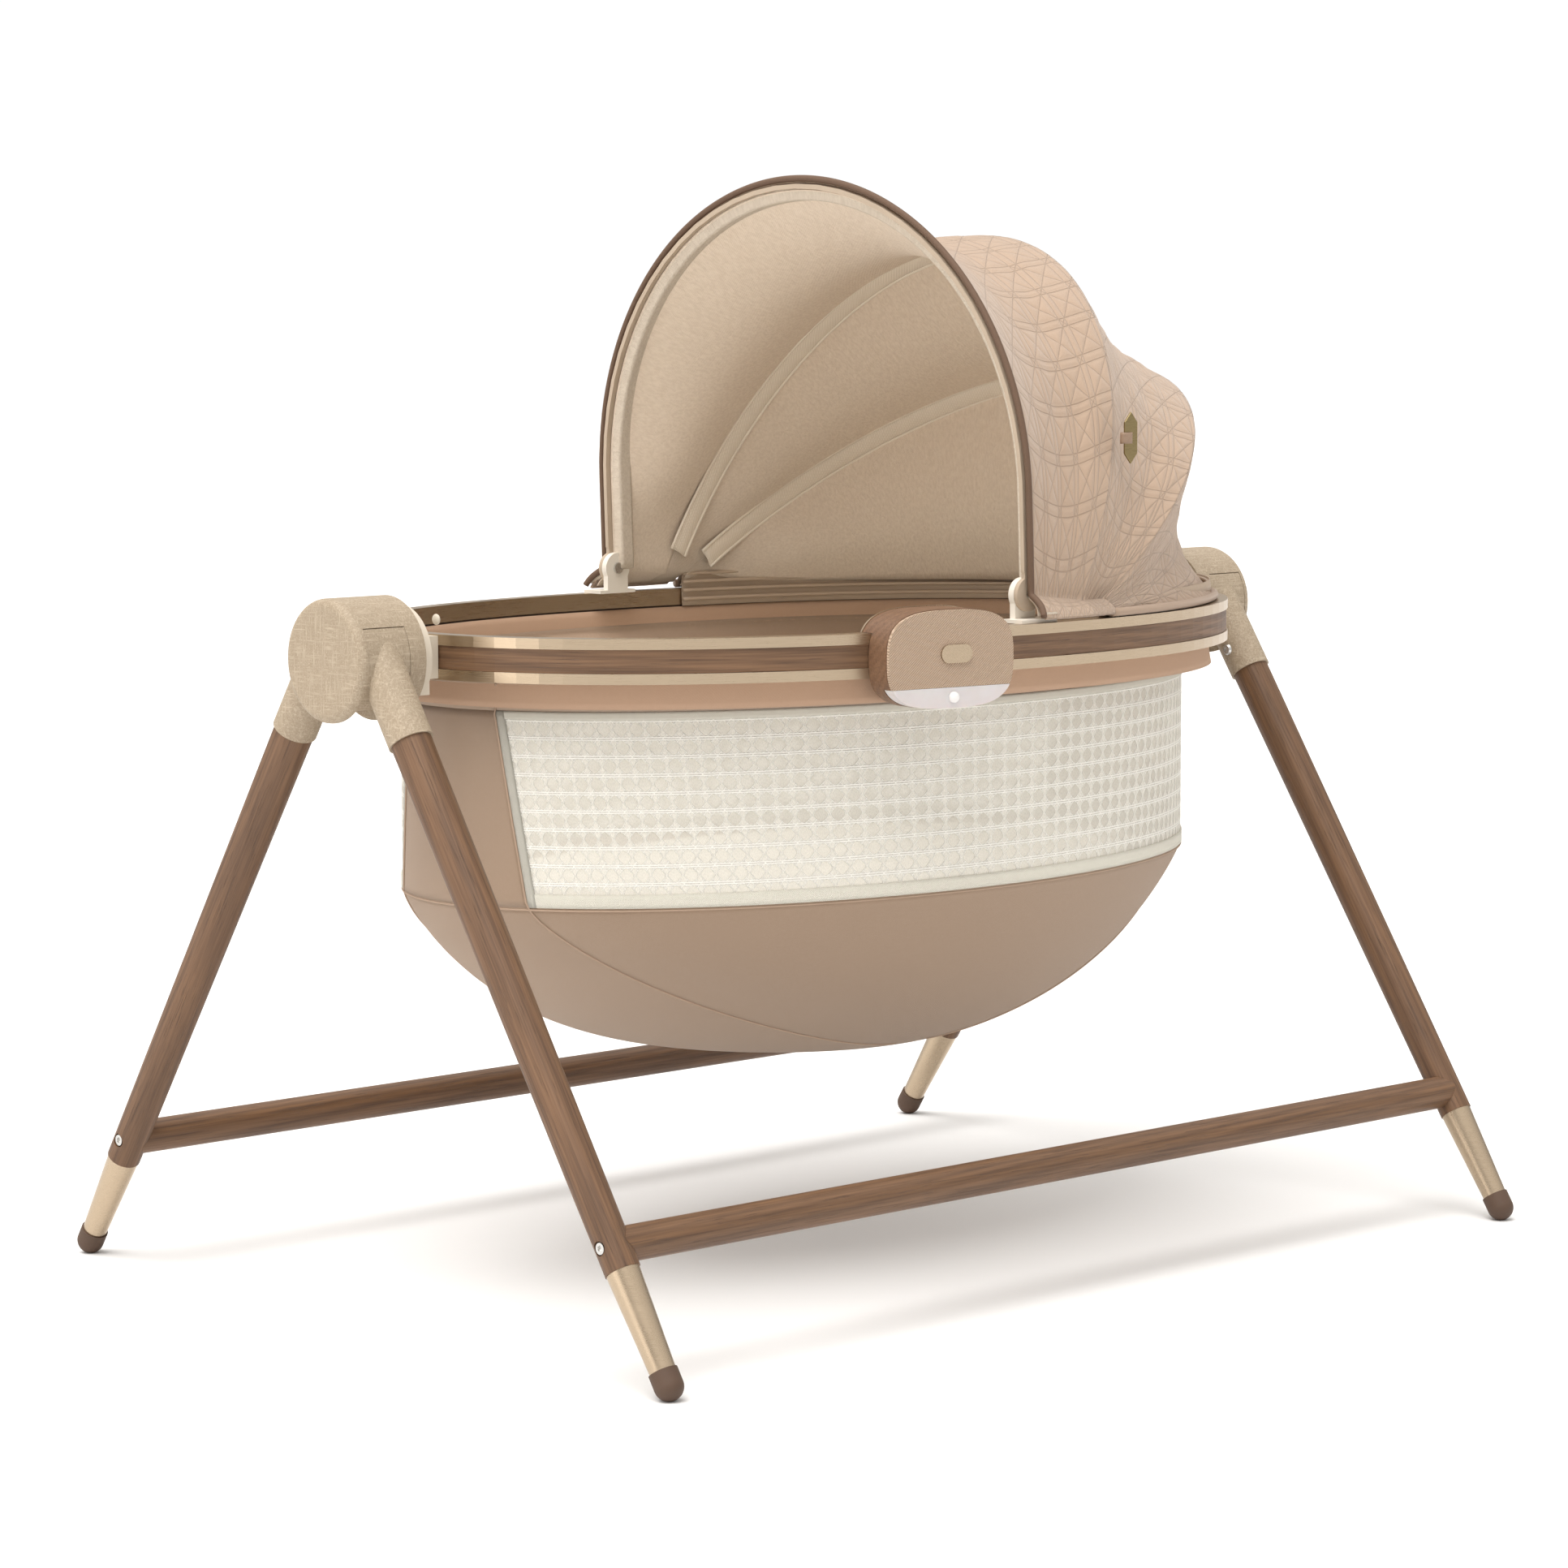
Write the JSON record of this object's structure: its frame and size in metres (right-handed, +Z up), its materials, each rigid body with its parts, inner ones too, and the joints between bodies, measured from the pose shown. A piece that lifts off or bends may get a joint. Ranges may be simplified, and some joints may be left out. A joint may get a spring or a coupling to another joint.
{
  "type": "bassinet on stand",
  "caption": "Oval rocking bassinet with mesh sides and a folding fan canopy, hung between two folding wooden A-frames, with a clip-on sound and light unit.",
  "frame": {"origin": "on the floor, under the middle of the stand's footprint", "axes": "+X from hub to hub towards the canopy end, +Y to the back, +Z up"},
  "size_m": [1.0582, 0.7794, 0.9278],
  "materials": {
    "walnut": "satin",
    "gilt_metal": "brushed satin",
    "foot_rubber": "matt",
    "linen_shell": "printed linen texture",
    "steel": "satin",
    "core_board": "matt",
    "shell_fabric": "fine twill",
    "mesh": "open cane-pattern mesh",
    "mattress_cover": "soft knit",
    "pale_plastic": "satin",
    "ribbed_fabric": "diagonal rib",
    "diffuser": "translucent satin",
    "dark_parts": "matt",
    "quilt": "quilted cane pattern"
  },
  "bodies": {
    "back_frame": {"back_leg_left": "walnut", "back_leg_right": "walnut", "back_ferrule_left": "gilt_metal", "back_ferrule_right": "gilt_metal", "back_foot_left": "foot_rubber", "back_foot_right": "foot_rubber", "back_stretcher": "walnut", "back_leg_bolts": "steel", "hub_cover_left": "linen_shell", "hub_cover_right": "linen_shell", "hub_shell_left": "linen_shell", "hub_shell_right": "linen_shell", "hub_plate_left": "linen_shell", "hub_plate_right": "linen_shell", "fold_axle_left": "steel", "fold_axle_right": "steel"},
    "front_frame": {"front_leg_left": "walnut", "front_leg_right": "walnut", "front_ferrule_left": "gilt_metal", "front_ferrule_right": "gilt_metal", "front_foot_left": "foot_rubber", "front_foot_right": "foot_rubber", "front_stretcher": "walnut", "front_leg_bolts": "steel", "hub_tongue_left": "linen_shell", "hub_tongue_right": "linen_shell", "socket_screws": "steel"},
    "cradle": {"end_bracket_left": "linen_shell", "end_bracket_right": "linen_shell", "rim_core": "core_board", "rim_top_strip": "gilt_metal", "rim_inlay": "walnut", "rim_bottom_strip": "gilt_metal", "tub_band": "shell_fabric", "mesh_window_front": "mesh", "mesh_window_back": "mesh", "end_gusset_left": "shell_fabric", "end_gusset_right": "shell_fabric", "tub_bowl": "shell_fabric", "base_board": "core_board", "mattress": "mattress_cover", "canopy_bracket_front": "pale_plastic", "canopy_bracket_back": "pale_plastic", "canopy_pins": "steel", "unit_housing": "walnut", "unit_trim": "gilt_metal", "speaker_cover": "ribbed_fabric", "speaker_driver": "dark_parts", "unit_badge": "gilt_metal", "light_diffuser": "diffuser", "motion_lens": "diffuser", "circuit_board": "dark_parts", "canopy_rear_panel": "quilt"},
    "rear_bow": {"rear_bow": "pale_plastic", "canopy_middle_panel": "quilt"},
    "middle_bow": {"middle_bow": "pale_plastic", "canopy_front_panel": "quilt", "canopy_tag": "gilt_metal"},
    "front_bow": {"front_bow": "pale_plastic"}
  },
  "joints": [
    {"name": "front_frame_fold", "type": "hinge", "parent": "back_frame", "child": "front_frame", "pos_m": [0, 0, 0.5391], "axis": [1, 0, 0], "range_deg": [0, 60]},
    {"name": "cradle_swing", "type": "hinge", "parent": "back_frame", "child": "cradle", "pos_m": [0, 0, 0.5391], "axis": [1, 0, 0], "range_deg": [-8, 8]},
    {"name": "canopy_rear_bow", "type": "hinge", "parent": "cradle", "child": "rear_bow", "pos_m": [0.005, 0, 0.58], "axis": [0, 1, 0], "range_deg": [0, 10], "deforming": ["canopy_rear_panel"]},
    {"name": "canopy_middle_bow", "type": "hinge", "parent": "rear_bow", "child": "middle_bow", "pos_m": [0.005, 0, 0.58], "axis": [0, 1, 0], "range_deg": [0, 20], "deforming": ["canopy_middle_panel"]},
    {"name": "canopy_front_bow", "type": "hinge", "parent": "middle_bow", "child": "front_bow", "pos_m": [0.005, 0, 0.58], "axis": [0, 1, 0], "range_deg": [0, 30], "deforming": ["canopy_front_panel"]}
  ],
  "couplings": [
    {"joint": "canopy_middle_bow", "follows": "canopy_front_bow", "ratio": 0.66667},
    {"joint": "canopy_rear_bow", "follows": "canopy_front_bow", "ratio": 0.33333}
  ]
}
